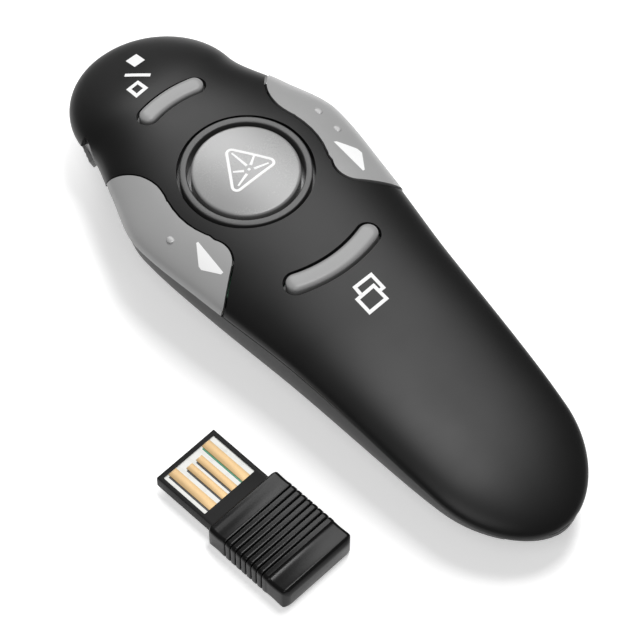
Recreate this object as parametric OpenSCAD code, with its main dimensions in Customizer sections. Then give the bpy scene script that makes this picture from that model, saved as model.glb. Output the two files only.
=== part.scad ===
// Wireless presentation clicker with its plug-in receiver, millimetres.
// Origin on the table under the middle of the casing, +Y to the nose, +Z up.

/* [Casing plan] */
// Length of the casing from tail to nose
body_len = 110; // [108:1:116]
// Radius of the round nose
nose_r = 14.2; // [13.8:0.1:15]
// Half width of the casing at the side keys
hip_half = 19.9; // [19.4:0.1:21]
// Half width in the grip, under the fingers
grip_half = 15.8; // [15.4:0.1:17]
// Half width near the tail
heel_half = 13.6; // [13.3:0.1:15]
// Length over which the tail rounds off
tail_round = 14.5; // [12:0.5:18]
// Distance from the middle of the casing to the laser button, towards the nose
button_y = 19; // [18:0.5:20]

/* [Casing profile] */
// Wall thickness of both shells
wall = 1.5; // [1.3:0.05:1.6]
// Height of the crown over the circuit board at the laser button
crown_room = 5.1; // [5:0.1:6.5]
// Drop of the crown from the laser button to the nose tip
nose_drop = 5.1; // [4:0.1:5.6]
// Drop of the crown from the laser button to the tail
tail_drop = 8.3; // [7.5:0.1:8.6]
// Rise of the belly at the tail
tail_lift = 3; // [2.6:0.1:3.4]
// Rise of the belly at the nose
nose_lift = 2.8; // [2:0.1:3.2]
// Height of the widest line of the casing over the underside of the circuit board
rim_rise = 1.4; // [1.2:0.1:1.5]
// Depth by which the round of the belly is cut flat, so that the casing stands
belly_flat = 0.3; // [0.2:0.1:0.5]
// Height of the split between the battery cover and the lower shell
split_z = 4.6; // [4.4:0.1:5]

/* [Keys] */
// Radius of the laser button
laser_button_r = 8.5; // [8:0.1:8.7]
// Inner radius of the bezel ring
bezel_in_r = 9.15; // [9:0.05:9.3]
// Outer radius of the bezel ring
bezel_out_r = 10.25; // [10.1:0.05:10.4]
// Radius of the arc of the bar key at the tail side, round the laser button
window_arc_r = 21.8; // [21.2:0.1:22]
// Distance from the tip of the nose to the bar key at the nose side
screen_nose = 17; // [16.6:0.1:17.4]
// Width of the bar key at the nose side
screen_key_w = 2.9; // [2.6:0.1:3.2]
// Width of the bar key at the tail side
window_key_w = 3.2; // [2.8:0.1:3.4]
// Half angle that the bar key at the nose side spans, in degrees
screen_key_half = 13.8; // [10:0.2:14]
// Half angle that the bar key at the tail side spans, in degrees
window_key_half = 19; // [15:0.2:20]
// Height of the bar keys over the crown
bar_proud = 0.55; // [0.3:0.05:0.8]
// Thickness of the side keys
side_key_t = 1.9; // [1.7:0.1:2.1]
// Height of the side keys over the shell
side_key_proud = 0.25; // [0.1:0.05:0.4]
// Travel of every key
key_travel = 0.45; // [0.3:0.05:0.5]

/* [Batteries] */
// Diameter of one battery cell
cell_d = 10.5; // [10.1:0.1:10.5]
// Length of one battery cell with its nub
cell_len = 44.5; // [43.5:0.1:44.6]
// Middle of the battery bay along the casing
bay_y = 1.75; // [1.5:0.25:1.75]
// How far the battery cover slides before it lifts away
cover_travel = 5; // [4:0.5:6]

/* [Circuit board] */
// Thickness of the circuit boards
board_t = 1.2; // [1:0.1:1.6]
// Length of the main board behind the laser button
board_back = 27; // [25:0.5:28]
// Length of the main board before the laser button
board_front = 24; // [23:0.5:24.5]
// Half width of the main board between the side keys
board_half = 15.6; // [15:0.1:15.8]

/* [Laser] */
// Outer radius of the laser barrel
barrel_r = 3.2; // [2.8:0.1:3.3]
// Length of the laser barrel
barrel_len = 12; // [10:0.5:12.5]
// Height of the laser beam over the table
beam_z = 8.2; // [8.1:0.05:8.3]
// Radius of the window in the nose
window_r = 1.6; // [1.2:0.1:1.6]

/* [Power slider] */
// Length of the slider knob
slider_len = 5; // [4:0.2:5.6]
// Height of the slider knob
slider_h = 2.2; // [1.8:0.1:2.4]
// Travel of the slider
slider_travel = 2; // [1.5:0.1:2.4]
// Distance from the tip of the nose to the middle of the slider's slot
slider_nose = 12.6; // [12.4:0.2:13]

/* [Receiver] */
// Width of the receiver's plug, a bare USB-A tongue
plug_w = 12; // [11.9:0.05:12.1]
// Length of the plug from its tip to the stop bar
plug_len = 11.3; // [11:0.1:12]
// Thickness of the plug
plug_t = 2.2; // [2.1:0.05:2.4]
// Width of the receiver's cover
cover_w = 14.4; // [14:0.1:14.6]
// Length of the receiver's cover
cover_len = 16.5; // [15.5:0.1:17]
// Thickness of the receiver's cover
cover_t = 4.8; // [4.6:0.1:5]
// Number of ribs across the receiver's cover
rib_count = 8; // [5:1:9]
// Pitch of those ribs
rib_pitch = 1.1; // [0.9:0.05:1.1]
// Distance of the receiver beside the casing's middle line
receiver_x = 32; // [31.5:0.5:40]
// Distance of the receiver's stop bar behind the casing's middle
receiver_y = 18.8; // [10:0.2:30]
// Turn of the receiver on the table, in degrees
receiver_turn = 5.5; // [0:0.5:12]

/* [Fit] */
// Gap between the two shells along their parting line
part_gap = 0.2; // [0.1:0.05:0.3]
// Gap round a key in the shell
key_gap = 0.45; // [0.35:0.05:0.5]
// Play of sliding and loose parts on each side
play = 0.3; // [0.2:0.05:0.35]

/* [Hidden] */
$fn = 48;

// Heights are stacked from the table up: cover, cells, bay roof, board, keys
bay_half = cell_d + play;
bay_len = cell_len + 5;
bay_back = bay_y - bay_len / 2;
bay_front = bay_y + bay_len / 2;
roof_t = 0.8;
bulkhead_t = 1.5;
cell_z = wall + play + cell_d / 2;
bay_roof = cell_z + cell_d / 2 + play / 2;
board_z = bay_roof + roof_t;
board_top = board_z + board_t;
crown_z = board_top + crown_room;
rim_z = board_z + rim_rise;

tail_y = -body_len / 2;
nose_y = body_len / 2;
nose_c = nose_y - nose_r;
tail_c = tail_y + tail_round;
cover_front = bay_front + bulkhead_t - play;
cover_back = bay_back - 3;

// Stations of the casing: place, half width, rim, crown, belly, belly roundness, tuck
AT = 0; HALF = 1; RIM = 2; CROWN = 3; BELLY = 4; ROUND = 5; TUCK = 6;
stations = [
    [tail_y, heel_half - 2.5, rim_z - 6, crown_z - tail_drop, tail_lift, 2, 1.5],
    [tail_y + 20, heel_half, rim_z - 2.1, crown_z - 4.4, 1, 2.3, 0.2],
    [button_y - 30, grip_half, rim_z, crown_z - 1.3, 0, 2.4, 0],
    [button_y - 12, hip_half - 1.5, rim_z + 0.2, crown_z - 0.1, 0, 2.2, 0],
    [button_y + 2, hip_half, rim_z, crown_z, 0, 2, 0.3],
    [button_y + 12, hip_half - 2.8, rim_z - 0.5, crown_z - 0.6, 0, 2, 0.8],
    [nose_c, nose_r, rim_z - 1.6, crown_z - 1.7, 0.4, 2, 1],
    [nose_y, nose_r, rim_z - 2.6, crown_z - nose_drop, nose_lift, 2, 1.2]];
last = len(stations) - 1;
dome = 2.4;
ring_step = 2.6;
core_step = 5.3;
blunt = 0.5;

// Smooth curve of one column through the stations, level wherever it turns
function slope(i, col) = (stations[i + 1][col] - stations[i][col])
    / (stations[i + 1][AT] - stations[i][AT]);
function tangent(i, col) = i == 0 ? slope(0, col) : i == last ? slope(last - 1, col)
    : slope(i - 1, col) * slope(i, col) <= 0 ? 0
    : 2 * slope(i - 1, col) * slope(i, col) / (slope(i - 1, col) + slope(i, col));
function span(y, i = 0) = i >= last - 1 || y < stations[i + 1][AT] ? i : span(y, i + 1);
function curve(col, y) =
    let (i = span(y), h = stations[i + 1][AT] - stations[i][AT], t = (y - stations[i][AT]) / h)
    (2 * t ^ 3 - 3 * t ^ 2 + 1) * stations[i][col] + (t ^ 3 - 2 * t ^ 2 + t) * h * tangent(i, col)
    + (3 * t ^ 2 - 2 * t ^ 3) * stations[i + 1][col] + (t ^ 3 - t ^ 2) * h * tangent(i + 1, col);

// Share of the full section left at y once the tail and the nose round off, skin t deep
function cap(y, t) = y < tail_c ? (1 - min(1, (tail_c - y) / (tail_round - t)) ^ 2.2) ^ 0.5
    : y > nose_c ? (1 - min(1, (y - nose_c) / (nose_r - t)) ^ 2) ^ 0.5 : 1;

// Places of the rings: close together where the ends round off, even between
function tail_ring(i, n, t) = tail_c - (tail_round - t) * cos(90 * (i + blunt) / (n + blunt - 0.5));
function nose_ring(i, n, t) = nose_c + (nose_r - t) * sin(90 * (i + 1) / (n + blunt));
function ring_places(t, ends, step) =
    let (mid = ceil((nose_c - tail_c) / step))
    concat([for (i = [0 : ends - 1]) tail_ring(i, ends, t)],
        [for (i = [0 : mid]) tail_c + (nose_c - tail_c) * i / mid],
        [for (i = [0 : ends - 1]) nose_ring(i, ends, t)]);

function pw(v, e) = sign(v) * abs(v) ^ e;

// Section over the rim, t inside the outer skin. With a foot it reaches below the rim, to cut it open
function upper_ring(y, t, foot, n) =
    let (c = cap(y, t), half = (curve(HALF, y) - t) * c, base = curve(RIM, y),
        rise = (curve(CROWN, y) - base - t) * c ^ 0.8, skip = foot > 0 ? 1 : 0)
    concat([for (i = [skip : n - skip]) let (a = 180 * i / n)
            [half * pw(cos(a), 2 / dome), y, base + rise * abs(sin(a)) ^ (2 / dome)]],
        foot > 0 ? [[-half, y, base - foot], [half, y, base - foot]] : []);

// Section under the rim, t inside the outer skin. With a head it reaches over the rim, to cut it open
function lower_ring(y, t, head, n) =
    let (c = cap(y, t), k = curve(ROUND, y), base = curve(RIM, y) - part_gap,
        half = (curve(HALF, y) - curve(TUCK, y) - t) * c,
        drop = (base - curve(BELLY, y) - t) * c ^ 0.8, deep = drop + belly_flat * c,
        skip = head > 0 ? 1 : 0)
    concat([for (i = [skip : n - skip]) let (a = 180 * i / n)
            [-half * pw(cos(a), 2 / k), y, base - min(drop, deep * abs(sin(a)) ^ (2 / k))]],
        head > 0 ? [[half, y, base + head], [-half, y, base + head]] : []);

// Closed solid through rings of equal length, each ring clockwise seen from the nose
module loft(rings) {
    n = len(rings[0]);
    m = len(rings);
    polyhedron(points = [for (r = rings) each r],
        faces = concat([[for (j = [n - 1 : -1 : 0]) j]],
            [[for (j = [0 : n - 1]) (m - 1) * n + j]],
            [for (i = [0 : m - 2]) for (j = [0 : n - 1]) let (k = (j + 1) % n)
                each [[i * n + j, (i + 1) * n + k, (i + 1) * n + j],
                    [i * n + j, i * n + k, (i + 1) * n + k]]]));
}

// Solid over or under the rim, t inside the outer skin, between two places along the casing
module upper_solid(t, foot = 0, from = -body_len, to = body_len, fine = true) {
    loft([for (y = fine ? ring_places(t, 8, ring_step) : ring_places(t, 4, core_step))
        if (y >= from && y <= to) upper_ring(y, t, foot, fine ? 30 : 16)]);
}

module lower_solid(t, head = 0, from = -body_len, to = body_len, fine = true) {
    loft([for (y = fine ? ring_places(t, 8, ring_step) : ring_places(t, 4, core_step))
        if (y >= from && y <= to) lower_ring(y, t, head, fine ? 26 : 16)]);
}

module at_button() {
    translate([0, button_y, 0]) children();
}

module both_sides() {
    children();
    mirror([1, 0, 0]) children();
}

// Outline of the right-hand side key, from above and centred on the laser button
web_r = 13.25;
key_nose = 14.6;
key_tail = -16;
module side_key_outline(grow = 0) {
    offset(r = grow) offset(r = 1) offset(delta = -2) offset(delta = 1) difference() {
        union() {
            translate([20.6, 6.9]) circle(8.4);
            translate([15.1, -8.9]) circle(3.9);
            polygon([[13, 5], [11.8, -7], [12.9, -12.1], [17.6, key_tail], [26, key_tail],
                [26, key_nose], [16.6, key_nose]]);
        }
        circle(web_r);
    }
}

// Radius of the arc round the laser button that a bar key follows, towards the nose or the tail
function arc_r(side) = side > 0 ? nose_y - screen_nose - button_y : window_arc_r;

// Arc-shaped bar round the laser button, from z0 to z1, towards the nose or the tail
module bar_solid(w, half, side, z0, z1) {
    at_button() rotate([0, 0, 90 * side]) {
        rotate([0, 0, -half]) rotate_extrude(angle = 2 * half)
            translate([arc_r(side) - w / 2, z0]) square([w, z1 - z0]);
        for (a = [-half, half]) rotate([0, 0, a]) translate([arc_r(side), 0, z0])
            cylinder(r = w / 2, h = z1 - z0);
    }
}

// Bar key: arc with a full round top, as wide as w, that stands on a holding flange
bar_flange = 0.6;
flange_t = 0.6;
module bar_key(w, half, side, top) {
    r = w / 2;
    crown_r = r * 0.62;
    at_button() rotate([0, 0, 90 * side]) {
        rotate([0, 0, -half]) rotate_extrude(angle = 2 * half) translate([arc_r(side), 0])
            bar_profile(r, crown_r, top);
        for (a = [-half, half]) rotate([0, 0, a]) translate([arc_r(side), 0, 0])
            rotate_extrude() intersection() {
                bar_profile(r, crown_r, top);
                square([r, top]);
            }
    }
    bar_solid(w + 2 * bar_flange, half, side, key_floor, key_floor + flange_t);
}

module bar_profile(r, crown_r, top) {
    translate([-r, key_floor]) square([2 * r, top - crown_r - key_floor]);
    for (x = [crown_r - r, r - crown_r]) translate([x, top - crown_r]) circle(crown_r);
    translate([crown_r - r, top - 2 * crown_r]) square([2 * (r - crown_r), 2 * crown_r]);
}

// Keys: switch bodies, stems and the lowest point of the flanges, clear of a switch when pressed
switch_h = 0.6;
switch_size = 4.5;
stem_r = 1.1;
key_floor = board_top + switch_h + key_travel + 0.1;
flange_top = key_floor + flange_t;
side_switch = [13.2, -3.5];
screen_y = nose_y - screen_nose;
window_y = button_y - window_arc_r;

// Seats between the shells: screw posts at the waist and beside the receiver dock
screw_r = 0.9;
screw_head_r = 1.6;
post_r = 2.2;
post_foot_r = screw_head_r + 1.2;
front_post = [9.8, button_y + 12.3];
rear_post = [9.4, bay_back - 4.5];
board_post = [front_post[0] - 2.2, front_post[1] + 3.7];
seat_z = board_z - 1.2;

module case_posts(z0, z1, r) {
    both_sides() {
        translate([front_post[0], front_post[1], z0]) cylinder(r = r, h = z1 - z0);
        translate([rear_post[0], rear_post[1], z0]) cylinder(r = r, h = z1 - z0);
    }
}

// Bezel collar and opening for the laser button
bezel_flange_r = bezel_out_r + 1.5;
shell_hole_r = bezel_out_r + 0.5;
collar_r = bezel_flange_r + 0.5;
bezel_flange_top = flange_top + 0.8;

module upper_shell() {
    color("#2c2c2e") difference() {
        union() {
            difference() {
                upper_solid(0);
                upper_solid(wall, foot = 1, fine = false);
            }
            at_button() translate([0, 0, bezel_flange_top])
                cylinder(r = collar_r, h = crown_z - 1.2 - bezel_flange_top);
            both_sides() {
                translate([front_post[0], front_post[1], seat_z])
                    cylinder(r = post_r, h = crown_z - 2.3 - seat_z);
                translate([rear_post[0], rear_post[1], seat_z])
                    cylinder(r = post_r, h = crown_z - 4.5 - seat_z);
            }
        }
        at_button() translate([0, 0, rim_z]) cylinder(r = shell_hole_r, h = crown_z);
        both_sides() at_button() linear_extrude(2 * crown_z) side_key_outline(key_gap);
        bar_solid(screen_key_w + 2 * key_gap, screen_key_half, 1, board_z, 2 * crown_z);
        bar_solid(window_key_w + 2 * key_gap, window_key_half, -1, board_z, 2 * crown_z);
        case_posts(seat_z - 1, seat_z + 1.6, screw_r + 0.05);
    }
}

// Receiver dock in the tail: a bay for its cover, open to the rear, and a slot for its plug
dock_half = cover_w / 2 + play;
dock_h = cover_t + 2 * play;
dock_z = wall + 2 * play;
dock_wall = 1.1;
slot_end = bay_back - bulkhead_t;
dock_step = slot_end - plug_len;
slot_half = plug_w / 2 + play;
slot_z = dock_z + (cover_t - plug_t) / 2;
slot_h = plug_t + 2 * play;
slot_floor = 0.6;

// Clear way of the battery cover, from its front edge to the end of its travel
way_back = cover_back - cover_travel - play;
way_front = cover_front + play;
way_z = split_z + play / 3;

// Latches of the battery cover
hook_w = 4;
hook_x = bay_half + 0.5;
hook_places = [4, 19];
hook_top = split_z + 2.9;

// Block between two corners
module block(from, to) {
    translate(from) cube([to[0] - from[0], to[1] - from[1], to[2] - from[2]]);
}

// Block between two corners, in the middle of the casing and 2 half wide
module mid_block(half, y0, y1, z0, z1) {
    block([-half, y0, z0], [half, y1, z1]);
}

module lower_shell() {
    color("#242426") {
        difference() {
            union() {
                difference() {
                    lower_solid(0);
                    lower_solid(wall, head = 1, fine = false);
                }
                intersection() {
                    lower_solid(0.4, head = 2, fine = false);
                    lower_ribs();
                }
                // solid plastic round the mouth of the receiver dock
                intersection() {
                    lower_solid(0.3, to = tail_c - 2, fine = false);
                    mid_block(dock_half + dock_wall, tail_y, tail_c, 0, rim_z);
                }
            }
            // clear way under the split, but for the floor of the plug slot
            difference() {
                mid_block(body_len, way_back, way_front, -1, way_z);
                mid_block(slot_half + dock_wall, way_back - 1, slot_end, slot_z - slot_floor, way_z + 1);
            }
            mid_block(bay_half, bay_back, bay_front, 0, bay_roof);
            mid_block(dock_half, tail_y - 1, dock_step, dock_z, dock_z + dock_h);
            mid_block(slot_half, dock_step - 1, slot_end, slot_z, slot_z + slot_h);
            // screw holes, with counterbores from below
            case_posts(0, seat_z + 1, screw_r + 0.2);
            case_posts(-1, seat_z - 5.2, screw_head_r + 0.15);
            translate([board_post[0], board_post[1], board_z - 4]) cylinder(r = screw_r + 0.05, h = 5);
            // slot of the power slider and bore of the laser window
            translate([-hip_half, slider_y, slider_z]) block(
                [0, -(slider_len + slider_travel) / 2 - play, -slider_h / 2 - play],
                [hip_half + switch_x, (slider_len + slider_travel) / 2 + play, slider_h / 2 + play]);
            translate([0, nose_y - 7, beam_z]) rotate([-90, 0, 0])
                cylinder(r = window_r + 0.05, h = 8);
            // windows for the hooks of the battery cover
            both_sides() for (y = hook_places)
                block([bay_half - 0.1, y - hook_w / 2 - cover_travel - play, 0],
                    [hook_x + 2.2 + play, y + hook_w / 2 + play, hook_top + play]);
        }
        both_sides() for (y = hook_places)
            translate([hook_x + 1 + play, y - hook_w / 2, split_z + play]) cube([1.6, hook_w, 1.2]);
    }
}

// Walls, posts and bulkheads of the lower shell
module lower_ribs() {
    mid_block(bay_half + 1, bay_back - bulkhead_t, bay_front + bulkhead_t, split_z, board_z);
    mid_block(dock_half + dock_wall, tail_c - 5, dock_step + dock_wall, 0,
        dock_z + dock_h + dock_wall);
    mid_block(slot_half + dock_wall, dock_step, slot_end + 0.1, slot_z - slot_floor,
        slot_z + slot_h + dock_wall);
    mid_block(hip_half, way_back - 1.2, bay_back, way_z - 0.1, way_z + 1);
    mid_block(hip_half, way_back - 1.2, way_back, 0, way_z + 1);
    mid_block(hip_half, way_front, way_front + 1.2, 0, way_z + 1);
    case_posts(0, seat_z, post_r);
    case_posts(0, seat_z - 4, post_foot_r);
    translate([board_post[0], board_post[1], 0]) cylinder(r = post_r - play, h = board_z);
    laser_cradle();
}

// Two saddles on the floor of the nose that carry the laser barrel
barrel_front = nose_y - 6.2;
barrel_back = barrel_front - barrel_len;
module laser_cradle() {
    for (y = [barrel_back + 2, barrel_front - 3.5]) difference() {
        mid_block(barrel_r + 1.2, y, y + 1.6, 0, beam_z);
        translate([0, y - 1, beam_z]) rotate([-90, 0, 0]) cylinder(r = barrel_r + 0.05, h = 4);
    }
}

module battery_cover() {
    color("#242426") {
        difference() {
            intersection() {
                lower_solid(0, from = cover_back - ring_step, to = cover_front + ring_step);
                translate([-body_len, cover_back, -1])
                    cube([2 * body_len, cover_front - cover_back, split_z + 1]);
            }
            lower_solid(wall, head = 1, from = cover_back - core_step, to = cover_front + core_step,
                fine = false);
            for (x = [-bay_half / 2, bay_half / 2]) translate([x, bay_back, cell_z])
                rotate([-90, 0, 0]) cylinder(r = cell_d / 2 + play, h = cover_front - bay_back + 1);
            mid_block(slot_half + dock_wall + play, cover_back - 1, bay_back + 0.1,
                slot_z - slot_floor - play, way_z + 1);
            // thumb grooves
            for (i = [0 : 4]) translate([-6, cover_front - 8 - 1.8 * i, -0.1])
                cube([12, 0.8, 0.5]);
        }
        both_sides() for (y = hook_places) cover_hook(y);
    }
}

module cover_hook(y) {
    translate([hook_x, y - hook_w / 2, split_z - 1]) cube([1.2, hook_w, hook_top - split_z + 1]);
    translate([hook_x, y - hook_w / 2, hook_top - 1]) cube([2.2, hook_w, 1]);
}

// Ring round the laser button: half-round rim on a skirt, held by a flange under the collar
module bezel_ring() {
    rim_w = bezel_out_r - bezel_in_r;
    top = crown_z - 0.15;
    color("#58585a") at_button() rotate_extrude() {
        translate([bezel_in_r, flange_top + 0.3]) square([rim_w, top - rim_w / 3 - flange_top - 0.3]);
        translate([bezel_in_r + rim_w / 3, top - rim_w / 3]) circle(rim_w / 3);
        translate([bezel_out_r - rim_w / 3, top - rim_w / 3]) circle(rim_w / 3);
        translate([bezel_in_r + rim_w / 3, top - rim_w / 2]) square([rim_w / 3, rim_w / 2]);
        translate([bezel_in_r, flange_top + 0.3])
            square([bezel_flange_r - bezel_in_r, bezel_flange_top - flange_top - 0.3]);
    }
}

// Laser button: shallow dome with a rolled edge, on a flange that the bezel holds down
button_edge = 0.5;
button_bulge = 0.5;
module laser_button() {
    edge_z = crown_z - 0.15;
    dome_r = (laser_button_r ^ 2 + button_bulge ^ 2) / (2 * button_bulge);
    color("#b4b4b6") at_button() difference() {
        rotate_extrude() intersection() {
            square([2 * laser_button_r, crown_z + 1]);
            union() {
                translate([0, key_floor]) square([laser_button_r, edge_z - button_edge - key_floor]);
                translate([0, key_floor]) square([laser_button_r - button_edge, edge_z - key_floor]);
                translate([laser_button_r - button_edge, edge_z - button_edge]) circle(button_edge);
                translate([0, key_floor]) square([bezel_in_r + 0.6, flange_t]);
                intersection() {
                    translate([0, edge_z + button_bulge - dome_r]) circle(dome_r, $fn = 180);
                    translate([0, edge_z - 0.1]) square([laser_button_r - button_edge, 2]);
                }
            }
        }
        // hollow underside round the switch
        translate([0, 0, key_floor - 1]) rotate_extrude()
            translate([3, 0]) square([laser_button_r - 4.4, 2.2]);
    }
}

module black_screen_button() {
    color("#a4a4a6") bar_key(screen_key_w, screen_key_half, 1, curve(CROWN, screen_y) + bar_proud);
}

module window_button() {
    color("#a4a4a6") bar_key(window_key_w, window_key_half, -1, curve(CROWN, window_y) + bar_proud);
}

// Side key: a curved skin that carries the casing's form, with two holding tabs
module side_key() {
    tab = [3.4, 3, 1.3];
    intersection() {
        difference() {
            upper_solid(-side_key_proud, from = button_y - 20, to = button_y + 18);
            upper_solid(side_key_t, foot = 1, from = button_y - 26, to = button_y + 26, fine = false);
        }
        at_button() translate([0, 0, rim_z + key_travel])
            linear_extrude(crown_z) side_key_outline();
    }
    at_button() for (y = [5, -11]) translate([11, y, key_floor]) cube(tab);
    // pad over the switch
    at_button() translate([side_switch[0] - 1, side_switch[1] - 1.6, key_floor])
        cube([3.2, 3.2, 1.4]);
}

module next_button() {
    color("#9c9c9e") side_key();
}

module previous_button() {
    color("#9c9c9e") mirror([1, 0, 0]) side_key();
}

// Switch stem: short round pin from the switch body up to the key that presses it
module stem(x, y) {
    foot = board_top + key_travel + 0.05;
    color("#e8e4da") translate([x, y, foot]) cylinder(r = stem_r, h = key_floor - foot);
}

module laser_switch_stem() { stem(0, button_y); }
module black_screen_switch_stem() { stem(0, screen_y); }
module window_switch_stem() { stem(0, window_y); }
module next_switch_stem() { stem(side_switch[0], button_y + side_switch[1]); }
module previous_switch_stem() { stem(-side_switch[0], button_y + side_switch[1]); }

// Places of the five key switches on the board
key_places = [[0, button_y], [0, screen_y], [0, window_y],
    [side_switch[0], button_y + side_switch[1]], [-side_switch[0], button_y + side_switch[1]]];

module key_switches() {
    color("#3a3a3c") for (p = key_places) translate([p[0], p[1], board_top]) difference() {
        translate([-switch_size / 2, -switch_size / 2, 0]) cube([switch_size, switch_size, switch_h]);
        translate([0, 0, -1]) cylinder(r = stem_r + 0.15, h = 3);
    }
}

module main_board() {
    color("#1f5c3a") difference() {
        translate([0, 0, board_z]) linear_extrude(board_t) offset(r = 2) offset(delta = -2)
            polygon([[-9.5, button_y - board_back], [9.5, button_y - board_back],
                [board_half, button_y - 12], [board_half, button_y + 5],
                [8.8, button_y + board_front], [-8.8, button_y + board_front],
                [-board_half, button_y + 5], [-board_half, button_y - 12]]);
        case_posts(board_z - 1, board_top + 1, post_r + play);
        translate([board_post[0], board_post[1], board_z - 1]) cylinder(r = screw_r + 0.15, h = 4);
    }
}

chip_size = [4, 4, 0.6];
crystal_size = [3.2, 2.5, 0.5];
part_size = [1, 1.6, 0.5];
part_pitch = 2.2;
radio_place = [-6.5, -12.5];
crystal_place = [2.6, -12.2];
part_row = [-10, -15.3];
cap_row = [7.2, -13];
module radio_chip() {
    color("#202022") translate([radio_place[0], button_y + radio_place[1], board_top])
        cube(chip_size);
}

module clock_crystal() {
    color("#c8c8cc") translate([crystal_place[0], button_y + crystal_place[1], board_top])
        cube(crystal_size);
}

// Small chips, resistors and capacitors on the board
module board_parts() {
    color("#b89a6a") for (i = [0 : 4])
        translate([part_row[0] + part_pitch * i, button_y + part_row[1], board_top]) cube(part_size);
    color("#b89a6a") both_sides() for (i = [0 : 2])
        translate([cap_row[0], button_y + cap_row[1] - 2 * i, board_top])
            cube([part_size[1], 0.8, part_size[2]]);
}

// Power switch under the board and its knob in the side wall
slider_y = nose_y - slider_nose;
slider_z = board_z - 4;
slider_x = curve(TUCK, slider_y) - curve(HALF, slider_y) - 0.1;
switch_x = -9.2;
knob_y = slider_y + slider_travel / 2;
module power_switch() {
    color("#b8b8bc") translate([switch_x, slider_y, slider_z]) difference() {
        block([0, -3.2, -1.4], [3.2, 3.2, board_z - slider_z]);
        block([-1, -slider_travel / 2 - 0.7 - play, -1], [1.2, slider_travel / 2 + 0.7 + play, 1]);
    }
}

module power_slider() {
    color("#8e8e90") {
        difference() {
            translate([slider_x, knob_y - slider_len / 2, slider_z - slider_h / 2])
                cube([switch_x - 0.3 - slider_x, slider_len, slider_h]);
            for (i = [-2 : 2]) translate([slider_x - 0.4, knob_y + 0.9 * i - 0.2, slider_z - slider_h])
                cube([0.7, 0.4, 2 * slider_h]);
        }
        translate([switch_x - 0.4, knob_y - 0.7, slider_z - 0.7]) cube([1.2, 1.4, 1.4]);
    }
}

// Laser module, from the window back to its driver board
module laser_window() {
    color("#5a1414") translate([0, nose_y - 2.9, beam_z]) rotate([-90, 0, 0])
        cylinder(r = window_r, h = 1.4);
}

module laser_lens() {
    color("#dfe8f0") translate([0, barrel_front - 2.2, beam_z]) rotate([-90, 0, 0])
        rotate_extrude() intersection() {
            square([barrel_r - 0.8, 1.6]);
            translate([0, -4]) circle(5.6, $fn = 96);
        }
}

module laser_barrel() {
    color("#c9a648") translate([0, barrel_back, beam_z]) rotate([-90, 0, 0]) difference() {
        cylinder(r = barrel_r, h = barrel_len);
        translate([0, 0, -1]) cylinder(r = 1.2, h = barrel_len + 2);
        translate([0, 0, -1]) cylinder(r = barrel_r - 0.6, h = 4.2);
        translate([0, 0, barrel_len - 2.2]) cylinder(r = barrel_r - 0.8, h = 3);
    }
}

module laser_diode() {
    color("#d8c070") translate([0, barrel_back, beam_z]) rotate([-90, 0, 0]) {
        cylinder(r = barrel_r - 0.6, h = 1.2);
        cylinder(r = barrel_r - 1.4, h = 3);
    }
}

module laser_board() {
    color("#1f5c3a") mid_block(4.2, barrel_back - board_t, barrel_back, beam_z - 3.4, beam_z + 4);
}

// Two cells side by side, nubs towards opposite ends
nub_len = 1;
module cell(x, dir) {
    translate([x, bay_y - dir * (cell_len / 2), cell_z]) rotate([-90 * dir, 0, 0]) {
        cylinder(r = cell_d / 2 - 0.4, h = 0.4);
        translate([0, 0, 0.4]) cylinder(r = cell_d / 2, h = cell_len - nub_len - 0.8);
        cylinder(r = cell_d / 2 - 0.4, h = cell_len - nub_len);
        cylinder(r = 1.9, h = cell_len);
    }
}

module battery_left() {
    color("#3c6e8c") cell(-bay_half / 2, 1);
}

module battery_right() {
    color("#3c6e8c") cell(bay_half / 2, -1);
}

// Contact spring: a cone of round wire turns that bears on the flat end of a cell
spring_turns = 4;
wire_r = 0.3;
module contact_spring(x, dir) {
    y = dir > 0 ? bay_back : bay_front;
    free = bay_len / 2 - cell_len / 2;
    translate([x, y, cell_z]) rotate([-90 * dir, 0, 0]) {
        block([-3.2, -3, 0], [3.2, 3, 0.4]);
        for (i = [0 : spring_turns - 1])
            translate([0, 0, 0.4 + (free - 0.4) * i / spring_turns]) rotate_extrude()
                translate([2.9 - 0.3 * i - wire_r, -0.001])
                square([2 * wire_r, (free - 0.4) / spring_turns]);
    }
}

module battery_springs() {
    color("#c8c8cc") {
        contact_spring(-bay_half / 2, 1);
        contact_spring(bay_half / 2, -1);
    }
}

// Plates that the nubs touch, each with a pressed dimple
module contact_plate(x, dir) {
    y = dir > 0 ? bay_front : bay_back;
    free = bay_len / 2 - cell_len / 2;
    translate([x, y, cell_z]) rotate([90 * dir, 0, 0]) {
        block([-3.2, -3, 0], [3.2, 3, 0.4]);
        cylinder(r1 = 2.8, r2 = 2, h = free);
    }
}

module battery_plates() {
    color("#c8c8cc") {
        contact_plate(-bay_half / 2, 1);
        contact_plate(bay_half / 2, -1);
    }
}

module screw(x, y, z_head, len) {
    translate([x, y, z_head]) difference() {
        union() {
            cylinder(r = screw_head_r, h = 1.2);
            translate([0, 0, 1.2]) cylinder(r = screw_r, h = len);
        }
        for (a = [0, 90]) rotate([0, 0, a]) translate([-1, -0.2, -0.1]) cube([2, 0.4, 0.7]);
    }
}

case_screw_drop = 6.4;
case_screw_len = 6.5;
module case_screws() {
    color("#9a9aa0") both_sides() {
        screw(front_post[0], front_post[1], seat_z - case_screw_drop, case_screw_len);
        screw(rear_post[0], rear_post[1], seat_z - case_screw_drop, case_screw_len);
    }
}

module board_screw() {
    color("#9a9aa0") translate([board_post[0], board_post[1], board_top + 1.2])
        mirror([0, 0, 1]) screw(0, 0, 0, 3.6);
}

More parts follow.
